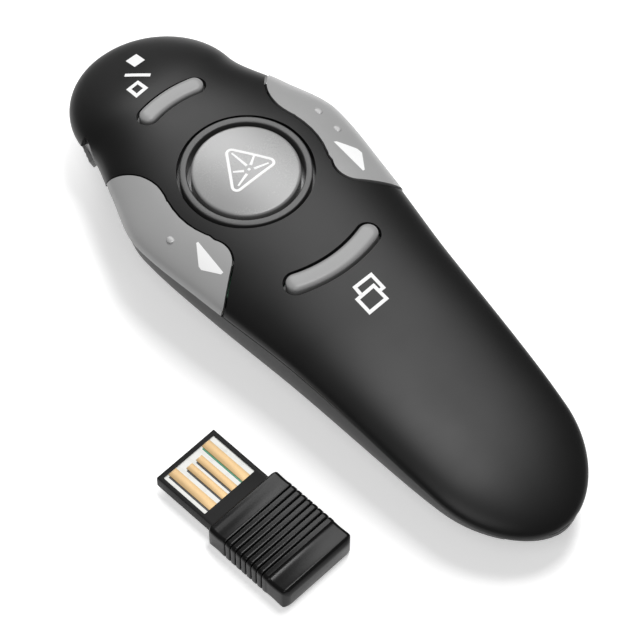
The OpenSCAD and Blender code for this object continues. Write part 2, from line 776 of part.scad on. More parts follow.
// Receiver, in its own frame: stop bar at the origin, plug towards +Y, table at z = 0
plug_z = (cover_t - plug_t) / 2;
bar_len = 1.4;
chip_board_t = 0.8;
tray_rim = 0.55;
rx_chip = 5;
rx_chip_y = -8.5;
module at_receiver() {
    translate([-receiver_x, -receiver_y, 0]) rotate([0, 0, receiver_turn]) children();
}

// Receiver cover: rounded block, ribbed across its top, bottom and sides
rib_start = 3.6;
rib_depth = 0.45;
module receiver_cover() {
    color("#1c1c1e") at_receiver() difference() {
        intersection() {
            translate([-cover_w / 2, -cover_len, 0]) cube([cover_w, cover_len, cover_t]);
            translate([0, 0, -1]) linear_extrude(cover_t + 2)
                offset(r = 0.8) offset(delta = -0.8)
                polygon([[-cover_w / 2, 0], [cover_w / 2, 0], [cover_w / 2, -cover_len + 1],
                    [cover_w / 2 - 1, -cover_len], [1 - cover_w / 2, -cover_len],
                    [-cover_w / 2, -cover_len + 1]]);
            translate([-cover_w, 0, cover_t / 2]) rotate([0, 90, 0]) linear_extrude(2 * cover_w)
                offset(r = 0.7) offset(delta = -0.7)
                translate([-cover_t / 2, -cover_len]) square([cover_t, cover_len]);
        }
        for (i = [0 : rib_count - 1]) translate([0, -rib_start - rib_pitch * (i + 0.5), 0]) {
            translate([-cover_w, -rib_pitch / 4, cover_t - rib_depth])
                cube([2 * cover_w, rib_pitch / 2, 1]);
            translate([-cover_w, -rib_pitch / 4, rib_depth - 1]) cube([2 * cover_w, rib_pitch / 2, 1]);
            for (x = [-1, 1]) translate([x * (cover_w / 2 - rib_depth + 1) - 1, -rib_pitch / 4, -1])
                cube([2, rib_pitch / 2, cover_t + 2]);
        }
        // room for the board and the back of the plug tray
        translate([-plug_w / 2 - 0.1, -cover_len + 2.4, plug_z - 0.1])
            cube([plug_w + 0.2, cover_len, plug_t + 0.2]);
    }
}

// Plug tray: the insulating frame of the plug, with low rims round the contact board
module receiver_plug_tray() {
    inside = cover_len - 6;
    color("#161618") at_receiver() difference() {
        union() {
            translate([-plug_w / 2, -inside, plug_z]) cube([plug_w, inside + bar_len + plug_len, plug_t]);
            translate([-cover_w / 2 + 0.5, 0, plug_z - 0.5]) cube([cover_w - 1, bar_len, plug_t + 1]);
        }
        translate([-plug_w / 2 + tray_rim, bar_len, board_rz])
            cube([plug_w - 2 * tray_rim, plug_len - tray_rim, chip_board_t + 1]);
        translate([-plug_w / 2 + tray_rim, -inside - 1, board_rz])
            cube([plug_w - 2 * tray_rim, inside + bar_len + 2, chip_board_t]);
        translate([-rx_chip / 2 - 0.2, rx_chip_y - 0.2, board_rz - 0.8])
            cube([rx_chip + 0.4, rx_chip + 0.4, 1]);
    }
}

board_rz = plug_z + plug_t - chip_board_t - 0.2;
module receiver_board() {
    inside = cover_len - 6.4;
    color("#e8e8e2") at_receiver()
        translate([-plug_w / 2 + tray_rim + 0.1, -inside, board_rz])
            cube([plug_w - 2 * tray_rim - 0.2, inside + bar_len + plug_len - tray_rim - 0.1, chip_board_t - 0.05]);
}

// Four gilt strips: the outer two reach further to the tip
contact_w = [1.5, 1.2, 1.2, 1.5];
contact_x = [-3.5, -1, 1, 3.5];
contact_len = [8.6, 7.4, 7.4, 8.6];
module receiver_contacts() {
    color("#d4af5a") at_receiver() for (i = [0 : 3])
        translate([contact_x[i] - contact_w[i] / 2, bar_len + 0.4, board_rz + chip_board_t - 0.05])
            cube([contact_w[i], contact_len[i], 0.12]);
}

module receiver_chip() {
    color("#202022") at_receiver()
        translate([-rx_chip / 2, rx_chip_y, board_rz - 0.7]) cube([rx_chip, rx_chip, 0.7]);
}

upper_shell();
lower_shell();
battery_cover();
bezel_ring();
laser_button();
black_screen_button();
window_button();
previous_button();
next_button();
laser_switch_stem();
black_screen_switch_stem();
window_switch_stem();
previous_switch_stem();
next_switch_stem();
power_slider();
power_switch();
laser_window();
laser_lens();
laser_barrel();
laser_diode();
laser_board();
main_board();
key_switches();
radio_chip();
clock_crystal();
board_parts();
battery_left();
battery_right();
battery_springs();
battery_plates();
case_screws();
board_screw();
receiver_cover();
receiver_plug_tray();
receiver_board();
receiver_contacts();
receiver_chip();
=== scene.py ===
# Presentation clicker and its plug-in receiver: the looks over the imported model
# Blender works in metres, the dictionaries below are in mm and degrees
import math
import bpy
from mathutils import Matrix, Vector


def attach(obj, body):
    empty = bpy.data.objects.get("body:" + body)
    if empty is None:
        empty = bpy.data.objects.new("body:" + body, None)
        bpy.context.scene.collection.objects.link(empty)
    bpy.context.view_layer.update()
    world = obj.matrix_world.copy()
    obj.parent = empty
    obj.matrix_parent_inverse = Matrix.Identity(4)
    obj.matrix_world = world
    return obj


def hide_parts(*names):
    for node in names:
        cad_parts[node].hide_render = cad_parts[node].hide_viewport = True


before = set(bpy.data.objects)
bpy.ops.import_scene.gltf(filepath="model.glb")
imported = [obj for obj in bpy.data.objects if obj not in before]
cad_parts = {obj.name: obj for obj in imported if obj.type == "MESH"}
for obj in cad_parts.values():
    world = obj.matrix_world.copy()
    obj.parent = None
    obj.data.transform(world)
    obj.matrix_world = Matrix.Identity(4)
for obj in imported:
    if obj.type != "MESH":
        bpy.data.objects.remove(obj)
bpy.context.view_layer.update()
mm = 0.001
bpy.ops.object.select_all(action="DESELECT")  # the loaded nodes come in selected
print("frame loaded,", len(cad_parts), "nodes")

# the camera sees its target at the given pixel of a square picture; distances and target in metres
view = {"azimuth": -39.8, "elevation": 57, "lens": 200, "sensor": 36, "distance": 0.545, "nearest": 0.01,
        "target": (0, 0.019, 0.0197), "pixel": (246.0, 169.2), "picture": 640}


def placeCamera(v):
    azimuth, elevation = math.radians(v["azimuth"]), math.radians(v["elevation"])
    flat = math.cos(elevation)
    back = Vector((math.sin(azimuth) * flat, -math.cos(azimuth) * flat, math.sin(elevation)))
    right = Vector((math.cos(azimuth), math.sin(azimuth), 0))
    up = back.cross(right)
    pixels = v["lens"] / v["sensor"] * v["picture"]
    across = (v["pixel"][0] - v["picture"] / 2) / pixels
    down = (v["pixel"][1] - v["picture"] / 2) / pixels
    spot = Vector(v["target"]) + (back - right * across + up * down) * v["distance"]
    turn = Matrix((right, up, back)).transposed().to_euler()
    bpy.ops.object.camera_add(location=spot, rotation=turn)
    camera = bpy.context.object
    camera.data.lens = v["lens"]
    camera.data.clip_start = v["nearest"]
    bpy.context.scene.camera = camera


placeCamera(view)
print("camera placed")


def pick(*pieces):
    bpy.ops.object.select_all(action="DESELECT")
    for piece in pieces:
        piece.select_set(True)
    bpy.context.view_layer.objects.active = pieces[0]


def editing(on, parts="VERT"):
    bpy.ops.object.mode_set(mode="EDIT" if on else "OBJECT")
    if on:
        bpy.ops.mesh.select_mode(type=parts)


def editAll():
    editing(True)
    bpy.ops.mesh.select_all(action="SELECT")


def joined(pieces):
    pick(*pieces)
    bpy.ops.object.join()
    return pieces[0]


def applyModifiers(piece):
    pick(piece)
    for modifier in list(piece.modifiers):
        bpy.ops.object.modifier_apply(modifier=modifier.name)


def cut(piece, tool):
    boolean = piece.modifiers.new("cut", "BOOLEAN")
    boolean.operation, boolean.solver, boolean.object = "DIFFERENCE", "EXACT", tool
    applyModifiers(piece)
    bpy.data.objects.remove(tool)


# corners closer than this become one, in metres: on new pieces, and on the nodes' loose triangles
sameSpot, sameNodeSpot = 0.000001, 0.000002


def facesOut(piece):
    pick(piece)
    editAll()
    bpy.ops.mesh.remove_doubles(threshold=sameSpot)
    bpy.ops.mesh.normals_make_consistent(inside=False)
    editing(False)


# a finished piece: named, at the origin, smooth up to an angle, dressed and riding
def settle(piece, name, body, material, node=None, angle=32):
    piece.name = piece.data.name = name
    pick(piece)
    bpy.ops.object.transform_apply(location=True, rotation=True, scale=True)
    bpy.ops.object.shade_smooth_by_angle(angle=math.radians(angle))
    piece.data.materials.clear()
    piece.data.materials.append(material)
    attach(piece, body)
    if node:
        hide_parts(node)


# a copy of a node with its loose triangles joined up
def mergedCopy(node):
    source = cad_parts[node]
    piece = bpy.data.objects.new(node + "Copy", source.data.copy())
    bpy.context.scene.collection.objects.link(piece)
    pick(piece)
    bpy.ops.mesh.customdata_custom_splitnormals_clear()
    editAll()
    bpy.ops.mesh.remove_doubles(threshold=sameNodeSpot)
    editing(False)
    return piece


# corners sorted clockwise from +Y; the small turn keeps the first one from falling last
def clockwise(corners):
    return sorted(corners, key=lambda v: (math.atan2(v.co.x, v.co.y) + 0.01) % (2 * math.pi))


# a circle of points extruded level by level, each level then laid on its own outline
def drawnUp(outlines):
    bpy.ops.mesh.primitive_circle_add(vertices=len(outlines[0]), radius=mm, fill_type="NGON")
    piece = bpy.context.object
    editAll()
    for _ in outlines[1:]:
        bpy.ops.mesh.extrude_region_move(TRANSFORM_OT_translate={"value": (0, 0, mm)})
    editing(False)
    levels = [[] for _ in outlines]
    for v in piece.data.vertices:
        levels[round(v.co.z / mm)].append(v)
    for level, outline in zip(levels, outlines):
        for v, spot in zip(clockwise(level), outline):
            v.co = Vector(spot) * mm
    facesOut(piece)
    return piece


def boxTool(low, high):
    bpy.ops.mesh.primitive_cube_add(size=1)
    tool = bpy.context.object
    for v in tool.data.vertices:
        v.co = [(low[i] if v.co[i] < 0 else high[i]) * mm for i in range(3)]
    return tool


# small even bevel along a piece's sharp edges
def softEdges(piece, width):
    bevel = piece.modifiers.new("soft", "BEVEL")
    bevel.width, bevel.segments = width * mm, 2
    bevel.limit_method, bevel.angle_limit = "ANGLE", math.radians(40)
    applyModifiers(piece)


class Wire:  # a shader socket that takes part in sums
    def __init__(self, finish, socket):
        self.finish, self.socket = finish, socket

    def sum(self, kind, a, b=0.5):
        return self.finish.add("ShaderNodeMath", {"operation": kind}, {0: a, 1: b})

    def __add__(self, other): return self.sum("ADD", self, other)
    def __radd__(self, other): return self.sum("ADD", other, self)
    def __sub__(self, other): return self.sum("SUBTRACT", self, other)
    def __rsub__(self, other): return self.sum("SUBTRACT", other, self)
    def __mul__(self, other): return self.sum("MULTIPLY", self, other)
    def __rmul__(self, other): return self.sum("MULTIPLY", other, self)
    def above(self, edge): return self.sum("GREATER_THAN", self, edge)
    def below(self, edge): return self.sum("LESS_THAN", self, edge)
    def least(self, other): return self.sum("MINIMUM", self, other)
    def toAndFro(self, pitch): return self.sum("PINGPONG", self, pitch)
    def size(self): return self.sum("ABSOLUTE", self)


class Finish:  # one material and its node tree
    def __init__(self, name, plain):
        self.material = bpy.data.materials.new(name)
        self.material.use_nodes = True
        self.tree = self.material.node_tree
        self.shader = self.tree.nodes["Principled BSDF"]
        for socket, value in plain.items():
            self.shader.inputs[socket].default_value = value
        self.place = self.add("ShaderNodeTexCoord", out="Object")

    def add(self, kind, settings=None, sockets=None, out=0):
        node = self.tree.nodes.new(kind)
        for key, value in (settings or {}).items():
            setattr(node, key, value)
        for key, value in (sockets or {}).items():
            if isinstance(value, Wire):
                self.tree.links.new(value.socket, node.inputs[key])
            else:
                node.inputs[key].default_value = value
        return Wire(self, node.outputs[out])

    def feed(self, socket, wire):
        self.tree.links.new(wire.socket, self.shader.inputs[socket])

    def noise(self, speck, detail=2.0, stretch=(1, 1, 1)):  # speck in mm
        spot = self.add("ShaderNodeMapping", sockets={"Vector": self.place, "Scale": stretch})
        return self.add("ShaderNodeTexNoise", sockets={"Vector": spot, "Scale": 1000 / speck, "Detail": detail})

    def along(self, axis):  # place along an axis, in mm
        return self.add("ShaderNodeSeparateXYZ", sockets={"Vector": self.place}, out=axis) * 1000

    def blend(self, share, a, b):
        return self.add("ShaderNodeMix", {"data_type": "RGBA"}, {0: share, 6: a, 7: b}, out=2)

    def bump(self, height, depth, strength):  # depth in mm
        sockets = {"Strength": strength, "Distance": depth * mm, "Height": height}
        self.feed("Normal", self.add("ShaderNodeBump", sockets=sockets))


def grey(value, warm=0.0):
    return (value * (1 + warm), value, value * (1 - warm), 1)


def shade(colour, share):
    return tuple(c * share for c in colour[:3]) + (1,)


# plastic wears in patches this many mm wide; the rest are shares of colour, roughness and relief
wear = {"patch": 9, "patchShare": 0.75, "patchMatt": 0.08, "grainMatt": 0.04, "relief": 0.6}


# moulded or painted plastic: colour that drifts a little, worn matt patches and a fine grain
def plastic(name, colour, rough, grain, depth, drift=0.12, sheen=0.5):
    f = Finish(name, {"Specular IOR Level": sheen})
    slow = f.noise(wear["patch"], 3)
    fine = f.noise(grain)
    mottle = slow * wear["patchShare"] + fine * (1 - wear["patchShare"])
    smoothest = rough - (wear["patchMatt"] + wear["grainMatt"]) / 2
    f.feed("Base Color", f.blend(mottle, shade(colour, 1 - drift), shade(colour, 1 + drift)))
    f.feed("Roughness", smoothest + slow * wear["patchMatt"] + fine * wear["grainMatt"])
    f.bump(fine, depth, wear["relief"])
    return f.material


brushing = {"matt": 0.16, "depth": 0.01, "relief": 0.5}


# metal with brushing, drawn out along the axis whose stretch is least
def metal(name, colour, rough, grain=0.4, stretch=(1, 1, 1), drift=0.1, share=1.0):
    f = Finish(name, {"Metallic": share})
    streak = f.noise(grain, 3, stretch)
    f.feed("Base Color", f.blend(streak, shade(colour, 1 - drift), colour))
    f.feed("Roughness", rough - brushing["matt"] / 2 + streak * brushing["matt"])
    f.bump(streak, brushing["depth"], brushing["relief"])
    return f.material


# name, colour, roughness, grain and its depth in mm
softBlack = plastic("softTouchBlack", grey(0.006), 0.37, 0.22, 0.006, sheen=0.24)
darkPlastic = plastic("darkPlastic", grey(0.016), 0.44, 0.30, 0.014, sheen=0.25)
keyGrey = plastic("keyGrey", grey(0.32), 0.33, 0.25, 0.003, drift=0.04, sheen=0.75)
buttonGrey = plastic("buttonGrey", grey(0.24), 0.27, 0.25, 0.0015, drift=0.03, sheen=0.65)
ringGrey = plastic("ringGrey", grey(0.05), 0.32, 0.20, 0.004, drift=0.08, sheen=0.35)
barGrey = plastic("barKeyGrey", grey(0.275), 0.36, 0.22, 0.004, drift=0.05, sheen=0.4)
knobGrey = plastic("knobGrey", grey(0.36), 0.42, 0.25, 0.01, drift=0.06)
printWhite = plastic("printWhite", grey(0.86), 0.5, 0.12, 0.004, drift=0.03)
receiverBlack = plastic("receiverBlack", grey(0.006), 0.25, 0.35, 0.0006, drift=0.2, sheen=0.16)
trayBlack = plastic("trayBlack", grey(0.010), 0.5, 0.25, 0.008, drift=0.2, sheen=0.12)
lineGreen = plastic("lineGreen", (0.03, 0.24, 0.12, 1), 0.4, 0.3, 0.004)
stemWhite = plastic("stemWhite", grey(0.62, 0.03), 0.45, 0.3, 0.01)
switchBody = plastic("switchBody", grey(0.03), 0.5, 0.3, 0.01)
chipBlack = plastic("chipBlack", grey(0.016), 0.42, 0.12, 0.012, drift=0.2)
laserRed = plastic("laserRed", (0.16, 0.008, 0.008, 1), 0.12, 0.6, 0.002, sheen=0.6)
partTan = plastic("partTan", (0.36, 0.24, 0.12, 1), 0.4, 0.3, 0.006)
# name, colour, roughness, speck of the brushing in mm
switchMetal = metal("switchMetal", grey(0.62), 0.32)
crystalMetal = metal("crystalMetal", grey(0.70), 0.24)
barrelBrass = metal("barrelBrass", (0.72, 0.50, 0.20, 1), 0.30, 0.5, (1, 6, 1))
diodeGold = metal("diodeGold", (0.80, 0.58, 0.24, 1), 0.28)
springSteel = metal("springSteel", grey(0.58), 0.28)
screwSteel = metal("screwSteel", grey(0.50), 0.34)
contactGold = metal("contactGold", (0.62, 0.42, 0.20, 1), 0.42, 0.35, (1, 0.15, 1), 0.16, 0.3)

# copper runs slant across a board, with straight rows between: pitches and widths in mm
boardLook = {"weave": 0.5, "slant": 0.25, "run": 1.1, "runWide": 0.22, "row": 1.7, "rowWide": 0.2,
             "runShare": 0.6, "rowShare": 0.4, "rough": 0.32, "matt": 0.1, "depth": 0.03, "relief": 0.5}


# circuit board: mask with a faint weave and copper under it
def boardFinish(name, mask, copper):
    b = boardLook
    f = Finish(name, {"Specular IOR Level": 0.5})
    weave = f.noise(b["weave"], 1)
    y = f.along("Y")
    runs = (f.along("X") + y * b["slant"]).toAndFro(b["run"]).below(b["runWide"])
    rows = y.toAndFro(b["row"]).below(b["rowWide"])
    f.feed("Base Color", f.blend((runs * b["runShare"] + rows * b["rowShare"]) * weave, mask, copper))
    f.feed("Roughness", b["rough"] + weave * b["matt"])
    f.bump(runs + rows * 0.5, b["depth"], b["relief"])
    return f.material


boardGreen = boardFinish("boardGreen", (0.010, 0.085, 0.040, 1), (0.030, 0.20, 0.085, 1))
boardWhite = boardFinish("boardWhite", (0.78, 0.78, 0.75, 1), (0.60, 0.62, 0.58, 1))

# jacket of a cell: its middle along the casing, half lengths of the dark band and of the jacket
cellLook = {"middle": 1.75, "darkHalf": 13.5, "jacketHalf": 21.6, "dark": (0.03, 0.035, 0.045, 1),
            "copper": (0.55, 0.30, 0.10, 1), "steel": 0.6, "scratch": 0.6, "rough": 0.26, "matt": 0.14}


# battery cell: jacket printed in bands along its length, bare ends
def cellFinish(c):
    f = Finish("cellJacket", {"Specular IOR Level": 0.5})
    fromMiddle = (f.along("Y") - c["middle"]).size()
    bare = fromMiddle.above(c["jacketHalf"])
    scratch = f.noise(c["scratch"], 3, (1, 0.2, 1))
    jacket = f.blend(fromMiddle.below(c["darkHalf"]), c["copper"], c["dark"])
    f.feed("Base Color", f.blend(bare, jacket, grey(c["steel"])))
    f.feed("Metallic", bare * 0.8 + 0.2)
    f.feed("Roughness", c["rough"] + scratch * c["matt"])
    f.bump(scratch, 0.01, 0.4)
    return f.material


cellJacket = cellFinish(cellLook)


def glassFinish():
    f = Finish("lensClear", {"Transmission Weight": 1.0, "IOR": 1.49})
    dust = f.noise(0.3)
    f.feed("Base Color", f.blend(dust, grey(0.9), grey(0.97)))
    f.feed("Roughness", 0.02 + dust * 0.05)
    return f.material


lensClear = glassFinish()
print("finishes made")

# casing: stations along it, and how its ends round off; reach is how far from the true curve a node's
# corner may lie to count as skin, core and smallest leave out the places where that curve means little
casing = {"stations": ((-55, 11.1, 8.65, 11.25, 3.0, 2.0, 1.5), (-35, 13.6, 12.55, 15.15, 1.0, 2.3, 0.2),
                       (-11, 15.8, 14.65, 18.25, 0, 2.4, 0), (7, 18.4, 14.85, 19.45, 0, 2.2, 0),
                       (21, 19.9, 14.65, 19.55, 0, 2.0, 0.3), (31, 17.1, 14.15, 18.95, 0, 2.0, 0.8),
                       (40.8, 14.2, 13.05, 17.85, 0.4, 2.0, 1.0), (55, 14.2, 12.05, 14.45, 2.8, 2.0, 1.2)),
          "tailEdge": -40.5, "tailRound": 14.5, "tailPower": 2.2,
          "noseEdge": 40.8, "noseRound": 14.2, "nosePower": 2, "endFall": 0.8,
          "dome": 2.4, "partGap": 0.2, "bellyFlat": 0.3, "keyLift": 0.2,
          "reach": 0.22, "core": 0.2, "smallest": 0.3, "slope": 0.02, "cuts": 3}
place, halfWidth, rim, crown, belly, roundness, tuck = range(7)  # columns of the stations


# one column's smooth curve through the stations, which never overshoots them
def curve(column, y):
    rows = casing["stations"]
    steep = [(b[column] - a[column]) / (b[place] - a[place]) for a, b in zip(rows, rows[1:])]
    between = [0 if a * b <= 0 else 2 * a * b / (a + b) for a, b in zip(steep, steep[1:])]
    lean = [steep[0]] + between + [steep[-1]]
    i = sum(y >= row[place] for row in rows[1:-1])
    length = rows[i + 1][place] - rows[i][place]
    t = (y - rows[i][place]) / length
    return ((2 * t ** 3 - 3 * t ** 2 + 1) * rows[i][column]
            + (t ** 3 - 2 * t ** 2 + t) * length * lean[i]
            + (3 * t ** 2 - 2 * t ** 3) * rows[i + 1][column]
            + (t ** 3 - t ** 2) * length * lean[i + 1])


# share of the full section that is left at y, 1 between the rounded ends
def endShare(y, lift=0.0):
    c = casing
    if y < c["tailEdge"]:
        past = min(1, (c["tailEdge"] - y) / (c["tailRound"] + lift)) ** c["tailPower"]
    elif y > c["noseEdge"]:
        past = min(1, (y - c["noseEdge"]) / (c["noseRound"] + lift)) ** c["nosePower"]
    else:
        return 1
    return max(0, 1 - past) ** 0.5


# a section of the casing at y: half width, base height, rise, roundness, flat limit, way up or down
def upperSection(y, lift=0.0):
    share, base = endShare(y, lift), curve(rim, y)
    rise = (curve(crown, y) - base + lift) * share ** casing["endFall"]
    return (curve(halfWidth, y) + lift) * share, base, rise, casing["dome"], rise, 1


def lowerSection(y, lift=0.0):
    share, base = endShare(y, lift), curve(rim, y) - casing["partGap"]
    drop = (base - curve(belly, y) + lift) * share ** casing["endFall"]
    half = (curve(halfWidth, y) - curve(tuck, y) + lift) * share
    return half, base, drop + casing["bellyFlat"] * share, curve(roundness, y), drop, -1


def crownHeight(x, y, lift=0.0):
    half, base, rise, power, limit, way = upperSection(y, lift)
    return base + rise * max(0, 1 - (abs(x) / half) ** power) ** (1 / power)


# how far out a place lies in a section, 1 on its curve
def spread(x, z, shape, least=0.05):
    half, base, rise, power, limit, way = shape
    up = max(0.0, (z - base) * way)
    return ((abs(x) / max(half, least)) ** power + (up / max(rise, least)) ** power) ** (1 / power)


# the point of the section curve that lies outward from a corner
def ontoSection(co, section, lift):
    x, y, z = (c / mm for c in co)
    shape = section(y, lift)
    half, base, rise, power, limit, way = shape
    if min(half, rise) < casing["smallest"]:
        return co
    far = spread(x, z, shape)
    if far < casing["core"]:
        return co
    up = max(0.0, (z - base) * way)
    return Vector((x / far, y, base + way * min(up / far, limit))) * mm


# the way in which spread grows
def skinNormal(co, section, lift):
    x, y, z = (c / mm for c in co)
    d = casing["slope"]
    grows = [spread(x + a, z + c, section(y + b, lift)) - spread(x - a, z - c, section(y - b, lift))
             for a, b, c in ((d, 0, 0), (0, d, 0), (0, 0, d))]
    return Vector(grows).normalized()


# skin faces of a copied node are split finer and laid on the true curve
def roundOut(piece, section, lift=0.0):
    mesh = piece.data

    def onCurve(co):
        return (ontoSection(co, section, lift) - co).length < casing["reach"] * mm

    nearSkin = [onCurve(v.co) for v in mesh.vertices]
    pick(piece)
    editing(True, "FACE")
    bpy.ops.mesh.select_all(action="DESELECT")
    editing(False)
    for face in mesh.polygons:
        face.select = (all(nearSkin[i] for i in face.vertices) and onCurve(face.center)
                       and abs(face.normal.y) < 0.97  # not a cut across
                       and face.normal.dot(skinNormal(face.center, section, lift)) > 0.5)  # looks outward
    editing(True, "FACE")
    bpy.ops.mesh.subdivide(number_cuts=casing["cuts"])
    editing(False)
    skin = {i for face in mesh.polygons if face.select for i in face.vertices}
    for i in skin:
        mesh.vertices[i].co = ontoSection(mesh.vertices[i].co, section, lift)
    mesh.update()
    print("  ", piece.name, len(skin), "skin points")
    return piece


# finger notch in the rim beside the slider: corners across and along, foot and top
notch = {"corners": ((-13.15, 42.5), (-15.3, 36.4), (-17, 36.4), (-17, 43.4)), "levels": (9, 17)}

upperShell = roundOut(mergedCopy("upper_shell"), upperSection)
cut(upperShell, drawnUp([[(x, y, z) for x, y in notch["corners"]] for z in notch["levels"]]))
settle(upperShell, "upperShell", "casing", softBlack, "upper_shell")
lowerShell = roundOut(mergedCopy("lower_shell"), lowerSection)
settle(lowerShell, "lowerShell", "casing", darkPlastic, "lower_shell")
coverPiece = roundOut(mergedCopy("battery_cover"), lowerSection)
settle(coverPiece, "batteryCover", "cover", darkPlastic, "battery_cover")
for node, body in (("previous_button", "previous_key"), ("next_button", "next_key")):
    key = roundOut(mergedCopy(node), upperSection, casing["keyLift"])
    settle(key, node.replace("_button", "Key"), body, keyGrey, node)
print("casing and side keys rounded out")

# slider's knob: ends along, foot and top, inner face, outer face at both ends, lean outward at its foot
knob = {"tail": 40.95, "nose": 45.85, "foot": 8.2, "top": 10.3, "inner": -9.4,
        "tailOut": -13.95, "noseOut": -12.4, "slant": 0.75,
        "ridges": 5, "ridge": 0.35, "ridgeInset": 0.15, "ridgeInner": -11.4, "proud": 0.1, "edge": 0.12}


# the knob's outer face at a place along the casing and a height
def knobOut(k, y, z):
    along = (y - k["tail"]) / (k["nose"] - k["tail"])
    lean = k["slant"] * (k["top"] - z) / (k["top"] - k["foot"])
    return k["tailOut"] + (k["noseOut"] - k["tailOut"]) * along + lean


# a block whose outer face follows the knob's, standing proud of it
def knobBlock(k, tail, nose, inset, inner, proud):
    outside = k["tailOut"] - 1
    block = boxTool((outside, tail, k["foot"] + inset), (inner, nose, k["top"] - inset))
    for v in block.data.vertices:
        if v.co.x < k["tailOut"] * mm:
            v.co.x = (knobOut(k, v.co.y / mm, v.co.z / mm) - proud) * mm
    return block


def sliderKnob(k):
    blocks = [knobBlock(k, k["tail"], k["nose"], 0, k["inner"], 0)]
    for i in range(k["ridges"]):
        y = k["tail"] + (k["nose"] - k["tail"]) * (i + 0.5) / k["ridges"]
        tail, nose = y - k["ridge"] / 2, y + k["ridge"] / 2
        blocks.append(knobBlock(k, tail, nose, k["ridgeInset"], k["ridgeInner"], k["proud"]))
    piece = joined(blocks)
    softEdges(piece, k["edge"])
    return piece


settle(sliderKnob(knob), "sliderKnob", "slider", knobGrey, "power_slider", 34)
print("slider knob made")

# laser button and its ring: radii and heights; step keeps two levels of a profile apart
buttonY = 19.0
step = 0.01
laserKey = {"hole": 0.02, "edge": 8.5, "foot": 15.6, "flange": 9.75, "flangeTop": 16.2, "shoulder": 19.0,
            "underRoll": 0.1, "round": 0.4, "rise": 0.46, "sides": 128,
            "domeRings": (8.0, 7.7, 7.2, 6.4, 5.4, 4.3, 3.2, 2.1, 1.0, 0.3)}
ring = {"inner": 9.15, "outer": 10.25, "flange": 11.75, "foot": 16.5, "flangeTop": 17.0, "top": 19.4,
        "round": 0.2, "sides": 128}


# a turned piece: a circle drawn up and in or out along its profile of radii and heights
def turned(profile, middle, sides, closed=False):
    r, z = profile[0]
    x, y = middle
    bpy.ops.mesh.primitive_circle_add(vertices=sides, radius=r * mm, location=(x * mm, y * mm, z * mm),
                                      fill_type="NOTHING")
    piece = bpy.context.object
    editAll()
    for nextR, nextZ in profile[1:]:
        bpy.ops.mesh.extrude_edges_move(TRANSFORM_OT_translate={"value": (0, 0, (nextZ - z) * mm)})
        if abs(nextR - r) > 1e-6:
            bpy.ops.transform.resize(value=(nextR / r, nextR / r, 1),
                                     center_override=(x * mm, y * mm, nextZ * mm))
        r, z = nextR, nextZ
    if not closed:
        bpy.ops.mesh.merge(type="CENTER")
    editing(False)
    facesOut(piece)
    return piece


def onCircle(angle):
    return math.cos(math.radians(angle)), math.sin(math.radians(angle))


def arc(centre, radius, start, end, steps):
    turns = [onCircle(start + (end - start) * i / steps) for i in range(steps + 1)]
    return [(centre[0] + radius * across, centre[1] + radius * up) for across, up in turns]


def domeHeight(r):
    k = laserKey
    bend = (k["edge"] ** 2 + k["rise"] ** 2) / (2 * k["rise"])
    return k["shoulder"] + k["round"] + k["rise"] - (bend - math.sqrt(bend ** 2 - r ** 2))


def laserKeyProfile(k):
    edge = k["edge"] - k["round"]
    rollUp = domeHeight(edge) - k["shoulder"]
    side = [(k["hole"], k["foot"]), (k["flange"], k["foot"]), (k["flange"], k["flangeTop"]),
            (k["edge"], k["flangeTop"] + step), (k["edge"], k["shoulder"] - k["underRoll"])]
    turns = [onCircle(angle) for angle in range(0, 90, 9)]
    roll = [(edge + k["round"] * across, k["shoulder"] + rollUp * up) for across, up in turns]
    return side + roll + [(r, domeHeight(r)) for r in k["domeRings"]]


def ringProfile(k):
    rollZ = k["top"] - k["round"]
    return ([(k["flange"], k["foot"]), (k["flange"], k["flangeTop"]), (k["outer"], k["flangeTop"] + step)]
            + arc((k["outer"] - k["round"], rollZ), k["round"], 0, 90, 7)
            + arc((k["inner"] + k["round"], rollZ), k["round"], 90, 180, 7)
            + [(k["inner"], k["foot"]), (k["flange"], k["foot"])])


button = turned(laserKeyProfile(laserKey), (0, buttonY), laserKey["sides"])
settle(button, "laserButton", "laser_key", buttonGrey, "laser_button", 24)
bezel = turned(ringProfile(ring), (0, buttonY), ring["sides"], closed=True)
settle(bezel, "bezelRing", "casing", ringGrey, "bezel_ring", 24)
print("laser button and ring turned")

# bar keys: arcs round the laser button; half is the angle from an arc's middle to its end
barKeys = {"screenKey": {"node": "black_screen_button", "body": "black_screen_key",
                         "wide": 2.9, "radius": 19.0, "half": 13.8, "side": 1},
           "windowKey": {"node": "window_button", "body": "window_key",
                         "wide": 3.2, "radius": 21.8, "half": 19, "side": -1}}
barArc = {"foot": 15.6, "flange": 0.6, "flangeTop": 16.2, "proud": 0.55, "ends": 12, "steps": 28,
          "fall": 0.5, "fullness": 0.7, "spine": 0.04}


# outline of an arc-shaped bar at half width w
def barOutline(bar, w):
    n, ends = barArc["steps"], barArc["ends"]
    radius, half = bar["radius"], bar["half"]
    points = []
    for edge in (1, -1):
        for i in range(n + 1):
            a = math.radians(edge * (-half + 2 * half * i / n))
            points.append(((radius + edge * w) * math.sin(a), (radius + edge * w) * math.cos(a)))
        end = math.radians(edge * half)
        for i in range(1, ends):
            t = math.pi * i / ends
            out, on = w * math.cos(t) * edge, w * math.sin(t)
            points.append(((radius + out) * math.sin(end) + edge * on * math.cos(end),
                           (radius + out) * math.cos(end) - edge * on * math.sin(end)))
    return [(x, buttonY + bar["side"] * y) for x, y in points]


